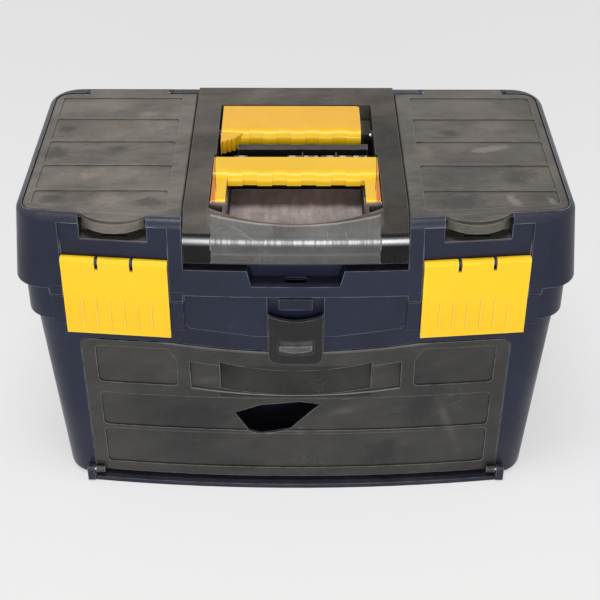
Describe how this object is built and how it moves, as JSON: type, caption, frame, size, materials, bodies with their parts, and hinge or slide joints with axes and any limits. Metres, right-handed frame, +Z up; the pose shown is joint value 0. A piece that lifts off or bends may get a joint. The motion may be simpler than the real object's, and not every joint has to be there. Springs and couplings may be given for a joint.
{
  "type": "tool box",
  "caption": "Plastic tool box with a hinged lid, flap-covered lid organisers, folding carrying handles, side latches and a drop-down front door.",
  "frame": {"origin": "on the floor, under the middle of the box's whole outline", "axes": "+X to the right of someone facing the door, +Y to the back, +Z up"},
  "size_m": [0.4692, 0.2681, 0.289],
  "materials": {
    "tub_plastic": "moulded, fine texture, dusty",
    "lid_plastic": "moulded, fine texture, dusty",
    "cover_plastic": "satin, dusty",
    "flap_plastic": "textured, dusty",
    "door_plastic": "smoked, scuffed",
    "latch_plastic": "moulded, light scuffs",
    "handle_plastic": "moulded, worn",
    "black_plastic": "moulded",
    "pale_plastic": "moulded",
    "steel": "bare"
  },
  "bodies": {
    "tub": {"tub": "tub_plastic", "left_lid_hinge_pin": "steel", "right_lid_hinge_pin": "steel", "left_door_pin": "steel", "right_door_pin": "steel"},
    "lid": {"lid": "lid_plastic", "centre_cover": "cover_plastic", "bit_rack": "black_plastic", "left_driver_bit": "steel", "middle_driver_bit": "steel", "right_driver_bit": "steel", "left_flap_pin": "steel", "right_flap_pin": "steel", "left_latch_pin": "steel", "right_latch_pin": "steel", "left_handle_pin": "steel", "right_handle_pin": "steel", "rear_handle_pin": "steel", "bare_rear_pin": "steel"},
    "left_flap": {"left_flap": "flap_plastic"},
    "right_flap": {"right_flap": "flap_plastic"},
    "left_latch": {"left_latch": "latch_plastic"},
    "right_latch": {"right_latch": "latch_plastic"},
    "door": {"door": "door_plastic"},
    "door_latch": {"door_latch": "black_plastic", "door_latch_insert": "pale_plastic"},
    "front_handle": {"front_handle": "handle_plastic"},
    "rear_handle": {"rear_handle": "handle_plastic"}
  },
  "joints": [
    {"name": "lid_hinge", "type": "hinge", "parent": "tub", "child": "lid", "pos_m": [0, 0.1335, 0.216], "axis": [-1, 0, 0], "range_deg": [0, 100]},
    {"name": "left_flap_hinge", "type": "hinge", "parent": "lid", "child": "left_flap", "pos_m": [-0.1555, 0.1152, 0.2848], "axis": [-1, 0, 0], "range_deg": [0, 95]},
    {"name": "right_flap_hinge", "type": "hinge", "parent": "lid", "child": "right_flap", "pos_m": [0.1555, 0.1152, 0.2848], "axis": [-1, 0, 0], "range_deg": [0, 95]},
    {"name": "front_handle_pivot", "type": "hinge", "parent": "lid", "child": "front_handle", "pos_m": [0, -0.079, 0.2795], "axis": [1, 0, 0], "range_deg": [0, 90]},
    {"name": "rear_handle_pivot", "type": "hinge", "parent": "lid", "child": "rear_handle", "pos_m": [-0.06, 0.04, 0.28], "axis": [1, 0, 0], "range_deg": [0, 90]},
    {"name": "left_latch_hinge", "type": "hinge", "parent": "lid", "child": "left_latch", "pos_m": [-0.14761, -0.11771, 0.247], "axis": [-0.9952, 0.0982, 0], "range_deg": [0, 90]},
    {"name": "right_latch_hinge", "type": "hinge", "parent": "lid", "child": "right_latch", "pos_m": [0.14761, -0.11771, 0.247], "axis": [-0.9952, -0.0982, 0], "range_deg": [0, 90]},
    {"name": "door_hinge", "type": "hinge", "parent": "tub", "child": "door", "pos_m": [0, -0.106, 0.013], "axis": [1, 0, 0], "range_deg": [0, 70]},
    {"name": "door_latch_slide", "type": "slide", "parent": "door", "child": "door_latch", "axis": [0, 0, 1], "range_m": [0, 0.004]}
  ]
}
